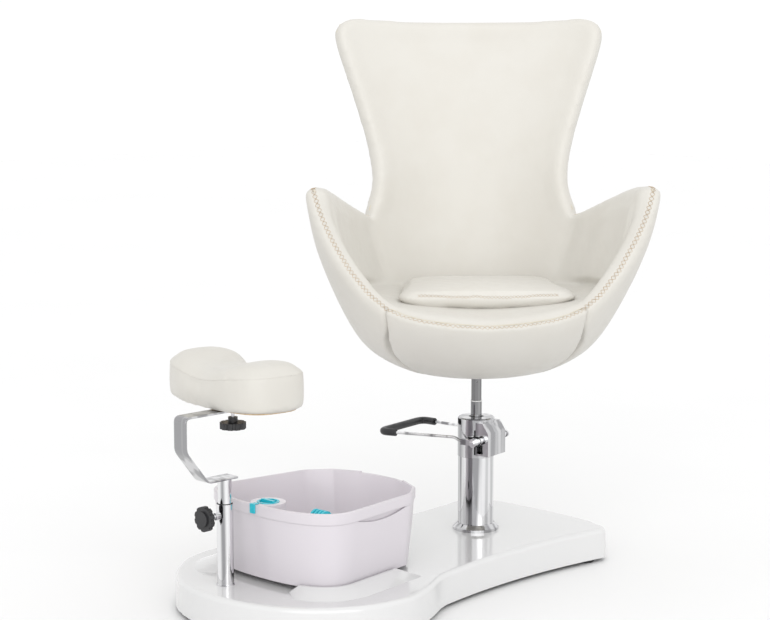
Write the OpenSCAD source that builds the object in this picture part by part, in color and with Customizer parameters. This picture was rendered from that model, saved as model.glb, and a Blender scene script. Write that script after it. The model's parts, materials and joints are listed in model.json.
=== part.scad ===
/* [Platform] */
// Height of the moulded platform, without its feet
base_h = 75; // [70:1:80]
// Height of the rubber feet under the platform
foot_h = 10; // [8:1:12]
// Half width of the front lobe
lobe_w = 324; // [316:1:330]
// Half length of the front lobe, from its widest line to the front
lobe_len = 284; // [278:1:290]
// Half width of the waist behind the lobe
waist_w = 221; // [215:1:226]
// Wall thickness of the moulding
base_wall = 6; // [5:0.5:7]
// Height of the locating curb around the foot spa
curb_h = 17.5; // [15:0.5:20]

/* [Pump] */
// Radius of the chrome reservoir tube
pump_r = 45; // [44:0.5:46]
// Height of the top of the pump head above the platform
head_top = 290; // [286:1:294]
// Radius of the lifting ram
ram_r = 14; // [13:0.5:14]
// How far the pump is turned on the platform
pump_turn = 9; // [6:1:12]
// Distance from the pump axis to the outside of the pedal grip
pedal_reach = 241; // [232:1:248]

/* [Seat] */
// Height of the shell's underside above the platform
seat_z = 393; // [391:1:396]
// How far the seat is turned from facing the foot spa
seat_turn = 47; // [30:1:60]
// Thickness of the stiff shell inside the upholstery
core_t = 4; // [3:1:5]
// Thickness of the padding inside the shell
lining_t = 15; // [13:1:18]
// Thickness of the padding outside the shell
cover_t = 19; // [16:1:20]

/* [Footrest] */
// Radius of the outer post tube
post_r = 19; // [18.5:0.5:20]
// Height of the outer post tube
post_h = 190; // [180:1:200]
// Height of the bracket's lower plate above the platform
bracket_z = 248; // [245:1:255]
// Width of the bracket's flat bar
bar_w = 40; // [36:1:44]
// Thickness of the bracket's flat bar
bar_t = 5; // [4:0.5:6]
// Half length of the footrest pad
pad_l = 194; // [188:1:200]
// Half depth of the footrest pad
pad_d = 108; // [102:1:112]
// How far the pad is turned on its bolt
pad_turn = -7; // [-12:1:12]

/* [Foot spa] */
// Height of the spa's rim above the platform
bath_h = 180; // [175:1:185]
// Half width of the spa at its front corners
bath_w = 215; // [212:1:218]
// Half width of the spa at the rear end of its flat sides
bath_rear_w = 185; // [180:1:187]
// Radius of the control dial
dial_r = 26; // [24:1:30]

/* [Hidden] */
running_gap = 0.05;
soft_gap = 0.4;

// Where the platform's own zero and the pump axis stand in the whole object's frame
base_x = 12;
base_y = 215;
pump_x = 4;
pump_y = 4;
base_top = foot_h + base_h;

// Platform outline
lobe_y = -590;
waist_y = -60;
waist_flare = 0.000285;
rear_y = 285;
rear_bow = 20;
rear_corner_r = 42;
top_fillet = 12;

// Foot spa
bath_x = -11;
bath_front_y = -626;
bath_nose = 112;
bath_side_rear_y = -406;
bath_tail_w = 53;
bath_tail_y = -307;
bath_band = 27;
bath_wall = 4;
bath_draft = 16;
bath_corner_w = 143;
bath_corner_y = -350;
// Height by which the feet lift the spa above its own zero
bath_up = 6;
dial_x = 5;
dial_y = -695;
lobe_r = 41;

// Footrest
post_x = -50;
post_y = -788;
bar_reach = 127;
bar_top = 408;
bolt_dy = 27;
bolt_r = 4;
pad_dx = -44;
pad_dy = 75;

// Pedal, measured from the pump axis in the pump's own turned frame
shaft_x = 33;
shaft_z = 235;
shaft_r = 7.5;
crank_r = 11;
plunger_r = 4;

module at_base() {
    translate([base_x, base_y, base_top]) children();
}

module at_pump() {
    at_base() translate([pump_x, pump_y, 0]) children();
}

module at_head() {
    at_pump() rotate([0, 0, pump_turn]) children();
}

module at_seat() {
    at_pump() translate([0, 0, seat_z]) rotate([0, 0, seat_turn]) children();
}

module at_post() {
    at_base() translate([post_x, post_y, 0]) children();
}

module at_bath() {
    at_base() translate([bath_x, 0, bath_up]) children();
}

module ring(r_out, r_in, h) {
    difference() {
        cylinder(h = h, r = r_out, $fn = 64);
        translate([0, 0, -1]) cylinder(h = h + 2, r = r_in, $fn = 64);
    }
}

// ---- curves and closed skins ----

function clamp(x, lo, hi) = max(lo, min(hi, x));

// Smooth curve through a short table of [x, y] points
function seg_at(tb, x, i = 0) = i >= len(tb) - 2 || x < tb[i + 1][0] ? i : seg_at(tb, x, i + 1);
function slope_at(tb, i) =
    let (a = max(i - 1, 0), b = min(i + 1, len(tb) - 1))
    (tb[b][1] - tb[a][1]) / (tb[b][0] - tb[a][0]);
function curve(tb, x) =
    let (
        i = seg_at(tb, x),
        span = tb[i + 1][0] - tb[i][0],
        t = clamp((x - tb[i][0]) / span, 0, 1),
        m0 = slope_at(tb, i) * span,
        m1 = slope_at(tb, i + 1) * span
    )
    (2 * pow(t, 3) - 3 * t * t + 1) * tb[i][1] + (pow(t, 3) - 2 * t * t + t) * m0
    + (3 * t * t - 2 * pow(t, 3)) * tb[i + 1][1] + (pow(t, 3) - t * t) * m1;

function soft_max(a, b, k) =
    let (h = clamp(0.5 + 0.5 * (a - b) / k, 0, 1))
    a * h + b * (1 - h) + k * h * (1 - h);

// A right-hand side is mirrored into a closed counterclockwise outline
function mirrored(side) =
    concat(side, [for (i = [len(side) - 2:-1:1]) [-side[i][0], side[i][1]]]);

// Moves each point of a closed outline inward by d
function inset(pts, d) =
    let (n = len(pts))
    [for (i = [0:n - 1])
        let (v = pts[(i + 1) % n] - pts[(i + n - 1) % n], u = v / norm(v))
        pts[i] + d * [-u[1], u[0]]];

// Closed skin through rings of equal length, one above the other
module skin(rings) {
    n = len(rings[0]);
    m = len(rings);
    sides = [for (k = [0:m - 2]) for (i = [0:n - 1])
        let (j = (i + 1) % n, a = k * n + i, b = k * n + j, c = a + n, d = b + n)
        each [[a, c, d], [a, d, b]]];
    bottom = [[for (i = [0:n - 1]) i]];
    top = [[for (i = [n - 1:-1:0]) (m - 1) * n + i]];
    polyhedron([for (r = rings) each r], concat(bottom, sides, top));
}

function lift(pts, z) = [for (p = pts) [p[0], p[1], z]];

// Round tube along a route of 3-D points
function unit(v) = v / norm(v);
module tube(route, r, sides = 12) {
    n = len(route);
    rings = [for (i = [0:n - 1])
        let (
            d = unit(route[min(i + 1, n - 1)] - route[max(i - 1, 0)]),
            u = unit(cross(d, [0, 0, 1])),
            w = cross(d, u)
        )
        [for (k = [0:sides - 1])
            let (a = 360 * k / sides) route[i] + r * (u * cos(a) + w * sin(a))]];
    skin(rings);
}

// Rounds inner corner i of a route with a curve that starts reach[i - 1] before it
function rounded(route, reach, steps = 5) =
    let (n = len(route))
    concat([route[0]], [for (i = [1:n - 2])
        let (
            p = route[i],
            a = p + reach[i - 1] * unit(route[i - 1] - p),
            b = p + reach[i - 1] * unit(route[i + 1] - p)
        )
        for (k = [0:steps]) let (t = k / steps)
            (1 - t) * (1 - t) * a + 2 * t * (1 - t) * p + t * t * b], [route[n - 1]]);

// ---- platform ----

function lobe_half(y) = lobe_w * sqrt(max(0, 1 - pow((y - lobe_y) / lobe_len, 2)));
function waist_half(y) = waist_w + waist_flare * pow(y - waist_y, 2);

rear_side_y = rear_y - rear_bow - rear_corner_r;
rear_side_w = waist_half(rear_side_y);
base_side = concat(
    [for (a = [0:7.5:90]) [lobe_w * sin(a), lobe_y - lobe_len * cos(a)]],
    [for (y = [lobe_y + 28:28:rear_side_y - 14])
        [soft_max(lobe_half(y), waist_half(y), 50), y]],
    [for (a = [0:18:90]) [
        rear_side_w - rear_corner_r * (1 - cos(a)),
        rear_side_y + (rear_corner_r - 4) * sin(a)]],
    [for (k = [4:-1:0]) let (x = (rear_side_w - rear_corner_r) * k / 5)
        [x, rear_y - rear_bow * pow(x / rear_side_w, 2)]]
);
base_outline = mirrored(base_side);

module base_shell() {
    color("white") at_base() difference() {
        union() {
            skin(concat(
                [lift(base_outline, -base_h)],
                [for (a = [0:18:90])
                    lift(inset(base_outline, 2 + top_fillet * (1 - cos(a))),
                        -top_fillet * (1 - sin(a)))]
            ));
            for (side = [-1, 1]) curb(side);
        }
        skin([
            lift(inset(base_outline, base_wall), -base_h - 1),
            lift(inset(base_outline, base_wall + 2), -base_wall)
        ]);
        bolt_drills();
    }
}

// Ridge that follows one side of the foot spa, with sloped ends
curb_w = 12;
curb_slope = 44;
curb_gap = -10;
module curb(side) {
    inner = curb_line(curb_gap);
    crest = curb_line(curb_gap + curb_w);
    outer = curb_line(curb_gap + curb_w + curb_slope);
    n = len(inner);
    rise = [for (i = [0:n - 1]) i == 0 || i == n - 1 ? 0.5 : curb_h];
    rings = [for (i = [0:n - 1])
        let (z = rise[i], c = crest[i])
        [
            [inner[i][0], inner[i][1], z],
            [c[0], c[1], z],
            [outer[i][0], outer[i][1], 0.3],
            [outer[i][0], outer[i][1], -3],
            [inner[i][0], inner[i][1], -3]
        ]];
    translate([bath_x, 0, 0]) mirror([side < 0 ? 1 : 0, 0, 0]) skin(rings);
}

function curb_line(g) = concat(
    [for (a = [26:8:90]) bath_nose_pt(a, g)],
    [for (t = [0.25, 0.5, 0.75, 0.92]) [
        bath_w + g + (bath_rear_w - bath_w) * t,
        bath_front_y + (bath_side_rear_y - bath_front_y) * t]]
);

// The pump's four screws and the post's four screws
flange_bolt_r = 51;
post_bolt_r = 11;
bolt_hole_r = 4.2;
module bolt_holes(at_the_pump) {
    where = at_the_pump ? [pump_x, pump_y, 0] : [post_x, post_y, 0];
    radius = at_the_pump ? flange_bolt_r : post_bolt_r;
    for (k = [0:3]) {
        translate(where) rotate([0, 0, 45 + (at_the_pump ? pump_turn : 0) + 90 * k])
            translate([radius, 0, 0]) children();
    }
}

module bolt_drills() {
    for (pump = [true, false]) {
        bolt_holes(pump) translate([0, 0, -30]) cylinder(h = 40, r = bolt_hole_r, $fn = 32);
    }
}

plate_t = 8;
plate_z = -base_wall - soft_gap - plate_t;
module ballast_plate() {
    color("dimgray") at_base() difference() {
        translate([0, 0, plate_z]) linear_extrude(plate_t) polygon(inset(base_outline, 16));
        bolt_drills();
    }
}

// Square tubes under the plate: two long rails and four cross tubes
tube_w = 30;
frame_z = plate_z - tube_w;
rail_x = 150;
cross_y = [-738, -560, -120, 196];
module support_frame() {
    color("dimgray") at_base() translate([0, 0, frame_z]) difference() {
        union() {
            for (s = [-1, 1]) {
                translate([s * rail_x - tube_w / 2, cross_y[0], 0])
                    cube([tube_w, cross_y[3] - cross_y[0], tube_w]);
            }
            for (k = [0:3]) {
                translate([-foot_x[k] - 12, cross_y[k] - tube_w / 2, 0])
                    cube([2 * foot_x[k] + 24, tube_w, tube_w]);
            }
        }
        feet() translate([0, 0, -10]) cylinder(h = tube_w + 20, r = 5.2, $fn = 32);
    }
}

foot_x = [170, 255, 175, 208];
foot_r = 21;
module feet() {
    for (k = [0:3]) {
        for (s = [-1, 1]) {
            translate([s * foot_x[k], cross_y[k], 0]) children();
        }
    }
}

module foot_pads() {
    color("black") translate([0, 0, -base_top]) at_base() feet() {
        difference() {
            union() {
                cylinder(h = foot_h + 6, r = foot_r, $fn = 48);
                translate([0, 0, foot_h + 6]) cylinder(h = 4, r1 = foot_r, r2 = foot_r - 6, $fn = 48);
            }
            translate([0, 0, 6]) cylinder(h = 40, r = 5, $fn = 32);
        }
    }
}

module foot_studs() {
    color("silver") translate([0, 0, -base_top]) at_base() feet() {
        translate([0, 0, 6]) cylinder(h = base_top + plate_z - 7, r = 5, $fn = 32);
        translate([0, 0, foot_h + 10.5]) cylinder(h = 6, r = 9, $fn = 6);
    }
}

// ---- pump ----

flange_r = 58.5;
flange_h = 17;
module pump_flange() {
    color("silver") at_head() difference() {
        union() {
            cylinder(h = 7, r = flange_r, $fn = 96);
            translate([0, 0, 7]) cylinder(h = flange_h - 7, r1 = flange_r - 1, r2 = pump_r + 2.5, $fn = 96);
        }
        translate([0, 0, 3]) cylinder(h = flange_h, r = pump_r, $fn = 96);
        for (k = [0:3]) {
            rotate([0, 0, 45 + 90 * k]) translate([flange_bolt_r, 0, -1])
                cylinder(h = 10, r = bolt_hole_r, $fn = 32);
        }
    }
}

// Screws from below through the plate: four into the pump's ring, four through the post's plate
module flange_bolts() {
    color("silver") at_base() {
        bolt_holes(true) screw(8.5);
        bolt_holes(false) screw(post_plate_t + 0.1);
    }
}

module screw(top) {
    translate([0, 0, plate_z - 0.1]) cylinder(h = top - plate_z, r = 4, $fn = 32);
    translate([0, 0, plate_z - 5.2]) cylinder(h = 5.2, r = 7, $fn = 6);
}

head_z = 190;
head_r = pump_r + 1.5;
module pump_cylinder() {
    color("silver") at_head() translate([0, 0, 3]) ring(pump_r, pump_r - 3, head_z - 3);
}

pocket_x = 21;
pocket_low = 199;
pocket_high = 262;
module pump_head() {
    color("silver") at_head() difference() {
        union() {
            translate([0, 0, head_z]) cylinder(h = head_top - head_z - 3, r = head_r, $fn = 96);
            translate([0, 0, head_top - 3]) cylinder(h = 3, r1 = head_r, r2 = head_r - 3, $fn = 96);
            translate([0, 0, head_z - 12]) cylinder(h = 12, r = pump_r - 3, $fn = 96);
        }
        translate([0, 0, head_z - 13]) cylinder(h = 140, r = ram_r + running_gap, $fn = 64);
        translate([0, 0, head_z - 13]) cylinder(h = 13, r = 18, $fn = 64);
        translate([0, 0, head_top - 8]) cylinder(h = 9, r = 19, $fn = 64);
        translate([pocket_x, -60, pocket_low]) cube([60, 120, pocket_high - pocket_low]);
        translate([shaft_x - crank_r, 0, head_z - 13])
            cylinder(h = 40, r = plunger_r + running_gap, $fn = 32);
        translate([shaft_x - crank_r, 0, pocket_low]) cylinder(h = 44, r = 8.5, $fn = 32);
    }
}

module guide_barrel() {
    color("silver") at_head() translate([0, 0, 3]) ring(18, ram_r + running_gap, head_z - 3);
}

module ram_seal() {
    color("black") at_head() translate([0, 0, head_top - 8]) ring(19, ram_r + running_gap, 8);
}

module pump_block() {
    color("silver") at_head() translate([shaft_x - crank_r + 3, 0, 110]) difference() {
        cylinder(h = head_z - 12 - 110, r = 10, $fn = 48);
        translate([-3, 0, 10]) cylinder(h = 100, r = plunger_r + running_gap, $fn = 32);
        translate([-shaft_x + crank_r - 3, 0, -1]) cylinder(h = 100, r = 18.2, $fn = 64);
    }
}

// Folded cover over the pocket, with a window in each side
shroud_x = 62;
shroud_w = 40;
shroud_low = 198;
shroud_mid = 256;
shroud_top = 281;
shroud_t = 1.6;
module shroud_outline(t) {
    polygon([
        [0, shroud_low + t], [shroud_x - t, shroud_low + t], [shroud_x - t, shroud_mid - t / 2],
        [45, shroud_top - t], [0, shroud_top - t]
    ]);
}

module shroud_solid(t) {
    translate([0, shroud_w - t, 0]) rotate([90, 0, 0]) linear_extrude(2 * (shroud_w - t)) shroud_outline(t);
}

module pedal_shroud() {
    color("silver") at_head() difference() {
        shroud_solid(0);
        shroud_solid(shroud_t);
        cylinder(h = 400, r = head_r + 0.2, $fn = 96);
        translate([shaft_x, -60, shaft_z]) rotate([-90, 0, 0]) cylinder(h = 120, r = shaft_r + 1, $fn = 48);
        translate([shaft_x - 6, -60, shroud_low + 5]) cube([19, 120, 24]);
    }
}

// ---- pedal ----

lug_y = 56;
lug_t = 13;
shaft_far = 90;
module pedal_shaft() {
    color("silver") at_head() {
        translate([shaft_x, -lug_y, shaft_z]) rotate([-90, 0, 0])
            cylinder(h = lug_y + shaft_far, r = shaft_r, $fn = 48);
        translate([shaft_x, shaft_far - 8, shaft_z]) rotate([-90, 0, 0])
            cylinder(h = 8, r = shaft_r + 2, $fn = 48);
        translate([shaft_x, -lug_y - lug_t - 1, shaft_z]) rotate([-90, 0, 0])
            cylinder(h = lug_t + 2, r = 5, $fn = 48);
        translate([shaft_x, -lug_y - lug_t - 5, shaft_z]) rotate([-90, 0, 0])
            cylinder(h = 4.9, r = 7, $fn = 48);
        translate([shaft_x - crank_r, -7, shaft_z - plunger_r]) cube([crank_r, 14, 2 * plunger_r]);
        translate([shaft_x - crank_r, -7, shaft_z]) rotate([-90, 0, 0])
            cylinder(h = 14, r = plunger_r, $fn = 32);
    }
}

module pedal_lugs() {
    color("silver") at_head() for (s = [-1, 1]) {
        translate([0, s * (lug_y + lug_t / 2), 0]) difference() {
            union() {
                translate([shaft_x, lug_t / 2, shaft_z]) rotate([90, 0, 0])
                    cylinder(h = lug_t, r = 11, $fn = 48);
                translate([-2, -lug_t / 2, shaft_z - 7]) cube([shaft_x + 2, lug_t, 14]);
            }
            translate([shaft_x, lug_t, shaft_z]) rotate([90, 0, 0])
                cylinder(h = 2 * lug_t, r = s < 0 ? 5 : shaft_r, $fn = 48);
            translate([-3, 0, shaft_z]) rotate([0, 90, 0]) cylinder(h = 16, r = rod_r, $fn = 32);
        }
    }
}

rod_r = 4;
grip_r = 9.5;
grip_arm = 46;
grip_bend = 26;
grip_gap = 0.25;
arm_in_y = lug_y + lug_t / 2;
arm_out_y = 95;
grip_x = -(pedal_reach - grip_r);
arm_z = 243.5;
bend_x = -24;
grip_z = 239;
module pedal_rod() {
    half = [
        [13, -arm_in_y, shaft_z], [-6, -arm_in_y, shaft_z], [bend_x, -arm_in_y - 1, arm_z],
        [grip_x, -arm_out_y, grip_z]
    ];
    full = concat(half, [for (k = [3:-1:0]) [half[k][0], -half[k][1], half[k][2]]]);
    color("silver") at_head() tube(rounded(full, [8, 8, grip_bend, grip_bend, 8, 8], 6), rod_r, 12);
}

// Sleeve over the loop's end, bored for the rod
module pedal_grip() {
    dir = unit([bend_x - grip_x, arm_out_y - arm_in_y, arm_z - grip_z]);
    start = [grip_x, -arm_out_y, grip_z] + grip_arm * [dir[0], dir[1], dir[2]];
    half = [start, [grip_x, -arm_out_y, grip_z]];
    full = concat(half, [for (k = [1:-1:0]) [half[k][0], -half[k][1], half[k][2]]]);
    bore = concat([half[0] + 10 * dir], [half[1]], [[half[1][0], arm_out_y, half[1][2]]],
        [[half[0][0] + 10 * dir[0], -half[0][1] - 10 * dir[1], half[0][2] + 10 * dir[2]]]);
    color("dimgray") at_head() difference() {
        tube(rounded(full, [grip_bend, grip_bend], 6), grip_r, 16);
        tube(rounded(bore, [grip_bend, grip_bend], 6), rod_r + grip_gap, 12);
    }
}

plunger_top = shaft_z - plunger_r - 0.5;
plunger_cap_z = plunger_top - 8;
module plunger() {
    color("silver") at_head() translate([shaft_x - crank_r, 0, 0]) {
        translate([0, 0, 130]) cylinder(h = plunger_top - 130, r = plunger_r, $fn = 32);
        translate([0, 0, plunger_cap_z]) cylinder(h = 3, r = 7.5, $fn = 32);
    }
}

// Coil of round wire around the plunger
spring_r = 6;
wire_r = 0.8;
spring_turns = 6;
module plunger_spring() {
    low = pocket_low + wire_r + 0.1;
    high = plunger_cap_z - wire_r - 0.1;
    route = [for (a = [0:24:360 * spring_turns])
        [spring_r * cos(a), spring_r * sin(a), low + (high - low) * a / (360 * spring_turns)]];
    color("gray") at_head() translate([shaft_x - crank_r, 0, 0]) tube(route, wire_r, 6);
}

// ---- ram and seat tube ----

ram_low = 44;
ram_high = 329;
spigot_r = 8;
spigot_h = 44;
module ram() {
    color("silver") at_pump() difference() {
        union() {
            translate([0, 0, ram_low]) cylinder(h = ram_high - ram_low, r = ram_r, $fn = 64);
            translate([0, 0, ram_high]) cylinder(h = spigot_h, r = spigot_r, $fn = 64);
        }
        translate([0, 0, ram_low + 6]) ring(ram_r + 1, ram_r - 2, 4);
    }
}

module ram_ring() {
    color("black") at_pump() translate([0, 0, ram_low + 6]) ring(ram_r, ram_r - 2, 4);
}

washer_t = 2;
module swivel_washer() {
    color("white") at_pump() translate([0, 0, ram_high]) ring(ram_r + 0.3, spigot_r, washer_t);
}

seat_tube_r = 13;
seat_tube_low = ram_high + washer_t + 0.1;
module seat_tube() {
    color("silver") at_pump() difference() {
        translate([0, 0, seat_tube_low]) cylinder(h = seat_z - 5 - seat_tube_low, r = seat_tube_r, $fn = 64);
        translate([0, 0, seat_tube_low - 1])
            cylinder(h = spigot_h, r = spigot_r + running_gap, $fn = 64);
        rotate([0, 0, seat_turn]) translate([0, -seat_tube_r - 1, seat_z - 13]) rotate([-90, 0, 0])
            cylinder(h = 6, r = 2.2, $fn = 24);
    }
}

seat_bolt_r = 62;
seat_plate_low = 16;
seat_plate_top = 31.5;
seat_bolt_top = 35.8;
module seat_plate() {
    color("dimgray") at_seat() difference() {
        union() {
            translate([0, 0, -5]) cylinder(h = seat_plate_low + 8, r = 20, $fn = 64);
            translate([0, 0, seat_plate_low])
                cylinder(h = seat_plate_top - seat_plate_low, r = 109, $fn = 96);
        }
        for (k = [0:3]) {
            rotate([0, 0, 45 + 90 * k]) translate([seat_bolt_r, 0, 0])
                cylinder(h = 40, r = bolt_hole_r, $fn = 32);
        }
    }
}

module seat_bolts() {
    color("silver") at_seat() seat_bolt_places() {
        translate([0, 0, seat_plate_low - 5]) cylinder(h = 4.9, r = 7, $fn = 6);
        translate([0, 0, seat_plate_low - 1])
            cylinder(h = seat_bolt_top - seat_plate_low + 1, r = 4, $fn = 32);
    }
}

module seat_bolt_places() {
    for (k = [0:3]) {
        rotate([0, 0, 45 + 90 * k]) translate([seat_bolt_r, 0, 0]) children();
    }
}

// ---- egg shell ----
// Heights are above the shell's underside. phi is 0 at the back and 180 at the front.

shell_low = 30;
joint_h = 388;
// The stiff core lies this far inside the surface that the tables below give
core_mid = -4;
core_in = core_mid - core_t / 2;
core_out = core_mid + core_t / 2;
joint_phi = 42;
half_width = [[30, 118], [37, 160], [58, 213], [92, 264], [154, 307], [290, 368], [380, 397],
    [480, 411], [520, 418], [600, 465], [712, 540], [890, 650]];
back_depth = [[30, 118], [37, 154], [58, 201], [92, 238], [154, 268], [290, 292], [420, 311],
    [520, 322], [712, 345], [890, 378]];
front_depth = [[30, 118], [37, 164], [58, 219], [92, 270], [140, 313], [182, 334], [260, 326],
    [340, 308], [420, 285], [510, 262], [890, 262]];
wide_line = [[16, 0], [60, 10], [130, 40], [220, 82], [320, 128], [420, 162], [500, 178],
    [700, 150], [890, 110]];
// Half width of the back panel and the height of the rim all around
back_edge = [[388, 290], [400, 273], [420, 259], [450, 249], [490, 246], [530, 250], [600, 267], [712, 303],
    [820, 339], [852, 347], [870, 344], [882, 331], [889, 311]];
rim_height = [[42, 388], [50, 406], [60, 438], [70, 466], [80, 483], [90, 485], [97, 464],
    [103, 436], [108, 394], [114, 334], [123, 262], [134, 213], [150, 187], [180, 174]];
back_top = 889;
back_dip = 11;

// Column angles from back to front, closer together where the rim is steep
columns = [0, 8.4, 16.8, 25.2, 33.6, 42, 50, 60, 70, 80, 90, 97, 103, 108, 114, 121, 127, 128.5,
    138, 151, 165,
    180];
last_col = len(columns) - 1;
back_col = 5;
cup_rows = 11;
back_rows = [0.04, 0.09, 0.16, 0.25, 0.36, 0.5, 0.64, 0.78, 0.88, 0.94, 0.975, 1];

// The slits between cover and front panel turn towards the front and close near the rim
slit_phi = 127.75;
slit_spread = 24;
slit_turn = [[0, -1], [0.42, 0], [0.52, 1.3], [0.62, 3.2], [0.72, 5.2], [0.82, 6.7], [1, 8]];
slit_close = [[0, 0], [0.2, -0.4], [0.45, -0.9], [0.58, -0.4], [0.68, 0.72], [1, 0.72]];
function turned(phi, t) =
    let (
        a = abs(phi) > 180 ? 360 - abs(phi) : abs(phi),
        off = a - slit_phi,
        turn = curve(slit_turn, t) * max(0, 1 - abs(off) / slit_spread),
        pinch = abs(off) < 1 ? -off * curve(slit_close, t) : 0
    ) phi + (turn + pinch) * (abs(phi) > 180 ? -1 : 1) * sign(phi);

function col_phi(c) =
    c > last_col ? 360 - columns[2 * last_col - c]
    : c < -last_col ? columns[2 * last_col + c] - 360
    : sign(c) * columns[abs(c)];
function rim_at(phi) =
    let (a = abs(phi) > 180 ? 360 - abs(phi) : abs(phi))
    a <= joint_phi ? joint_h : curve(rim_height, a);
function shell_pt(phi, h) =
    let (
        v0 = curve(wide_line, h),
        c = cos(phi),
        depth = c > 0 ? v0 + curve(back_depth, h) : curve(front_depth, h) - v0
    )
    [curve(half_width, h) * sin(phi), depth * c - v0, h];
function has_back(c) = abs(c) <= back_col;
function row_count(c) = cup_rows + (has_back(c) ? len(back_rows) : 0);
function grid_pt(c, j) =
    let (phi = col_phi(c))
    j <= cup_rows
        ? let (t = pow(j / cup_rows, 1.5))
            shell_pt(turned(phi, t), shell_low + (rim_at(turned(phi, 1)) - shell_low) * t)
        : let (
            s = c / back_col,
            top = back_top - back_dip * (1 - s * s),
            h = joint_h + (top - joint_h) * back_rows[j - cup_rows - 1],
            edge = asin(curve(back_edge, h) / curve(half_width, h))
        ) shell_pt(s * edge, h);

// Outward normal from the neighbouring grid points
function grid_normal(c, j) =
    let (
        lo = j > cup_rows ? max(c - 1, -back_col) : c - 1,
        hi = j > cup_rows ? min(c + 1, back_col) : c + 1,
        across = grid_pt(hi, j) - grid_pt(lo, j),
        up = grid_pt(c, min(j + 1, row_count(c))) - grid_pt(c, max(j - 1, 0))
    )
    unit(cross(up, across));

// One layer of the shell between two offsets from its middle surface, over the columns first to last.
// A layer that goes all round closes on itself and has a bottom.
module shell_layer(low, high, first, last, row0 = 0) {
    all_round = last - first == 2 * last_col;
    cols = [for (c = [first:all_round ? last - 1 : last]) c];
    rows = cup_rows + 1 - row0;
    grid = [for (c = cols) for (j = [row0:row_count(c)]) [grid_pt(c, j), grid_normal(c, j)]];
    count = len(grid);
    outer = [for (g = grid) g[0] + high * g[1]];
    inner = [for (g = grid) g[0] + low * g[1]];
    wrap = len(cols);
    extra = len(back_rows);
    function at(c, j) =
        let (k = all_round ? (c - first) % wrap : c - first, cc = k + first)
        k * rows + (first > back_col ? 0 : clamp(cc + back_col, 0, 2 * back_col + 1)) * extra + j - row0;
    function quad(a, b, c, d) = [[a, b, c], [a, c, d]];
    function cell(c, j) =
        let (a = at(c, j), b = at(c + 1, j), d = at(c + 1, j + 1), e = at(c, j + 1))
        concat(quad(a, b, d, e), quad(count + a, count + e, count + d, count + b));
    function edge(a, b) = quad(a, b, count + b, count + a);
    ends = [first, last];
    faces = concat(
        [for (c = [first:last - 1]) for (j = [row0:cup_rows - 1]) each cell(c, j)],
        [for (c = [first:last - 1]) if (has_back(c) && has_back(c + 1))
            for (j = [cup_rows:cup_rows + extra - 1]) each cell(c, j)],
        [for (c = [first:last - 1]) let (j = has_back(c) && has_back(c + 1) ? cup_rows + extra : cup_rows)
            each edge(at(c, j), at(c + 1, j))],
        first > back_col ? [] : [for (j = [cup_rows:cup_rows + extra - 1])
            each concat(edge(at(-back_col, j), at(-back_col, j + 1)),
                edge(at(back_col, j + 1), at(back_col, j)))],
        all_round
            ? [for (c = [first:last - 1]) each [
                [at(c + 1, 0), at(c, 0), 2 * count],
                [count + at(c, 0), count + at(c + 1, 0), 2 * count + 1]]]
            : [for (c = [first:last - 1]) each edge(at(c + 1, row0), at(c, row0))],
        all_round ? [] : [for (j = [row0:cup_rows - 1])
            each concat(edge(at(ends[0], j), at(ends[0], j + 1)),
                edge(at(ends[1], j + 1), at(ends[1], j)))]
    );
    poles = all_round ? [[0, 0, shell_low - high], [0, 0, shell_low - low]] : [];
    polyhedron(concat(outer, inner, poles), faces);
}

module shell_core() {
    color("tan") at_seat() difference() {
        shell_layer(core_in, core_out, -last_col, last_col);
        seat_bolt_places() cylinder(h = 60, r = bolt_hole_r, $fn = 32);
    }
}

module shell_lining() {
    color("ivory") at_seat()
        shell_layer(core_in - lining_t, core_in - soft_gap, -last_col, last_col);
}

// The outside cover leaves the front to a separate panel, with an open slit at both sides
panel_col = 16;
module shell_cover() {
    color("ivory") at_seat()
        shell_layer(core_out + soft_gap, core_out + cover_t, -panel_col, panel_col);
}

module front_panel() {
    color("ivory") at_seat()
        shell_layer(core_out + soft_gap, core_out + cover_t - 1, panel_col + 1, 2 * last_col - panel_col - 1);
}

// Height of the seat's firm top: dished across, rolled down towards the front lip
seat_mid = 194;
seat_dish = 24;
seat_roll = 18;
function seat_level(x, y) =
    seat_mid + seat_dish * pow(x / 250, 2) - seat_roll * pow(clamp((-y - 190) / 140, 0, 1), 2);

// Plan section of the bowl, moved inward by d and, for the top, by the share f
function bowl_pt(phi, h, d) =
    let (p = shell_pt(phi, h), v0 = curve(wide_line, h), q = [p[0], p[1] + v0], m = (1 - d / norm(q)) * q)
    [m[0], m[1] - v0];
function bowl_ring(h, d, z) = [for (k = [0:47]) let (m = bowl_pt(-7.5 * k, h, d)) [m[0], m[1], z]];
function seat_top_ring(d, f) =
    [for (k = [0:47])
        let (
            a = bowl_pt(-7.5 * k, seat_mid, d),
            m = f * bowl_pt(-7.5 * k, seat_level(a[0], a[1]), d)
        ) [m[0], m[1], seat_level(m[0], m[1])]];

module seat_base() {
    color("beige") at_seat() skin([
        bowl_ring(44, 62, 58),
        bowl_ring(58, 50, 72),
        bowl_ring(92, 38, 98),
        bowl_ring(150, 32, 150),
        bowl_ring(178, 31, 174),
        seat_top_ring(32, 1),
        seat_top_ring(38, 0.94),
        seat_top_ring(38, 0.75),
        seat_top_ring(38, 0.5),
        seat_top_ring(38, 0.25)
    ]);
}

// Loose cushion: straight front, flat crowned top, underside shaped to the dished seat
cushion_w = 235;
cushion_front = -192;
cushion_back = 172;
cushion_back_w = 176;
cushion_top = 229;
cushion_dx = 12;
cushion_side = rounded([
    [0, cushion_front], [cushion_w, cushion_front + 6], [cushion_back_w, cushion_back - 6], [0, cushion_back]
], [60, 60], 6);
cushion_line = mirrored(cushion_side);

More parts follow.
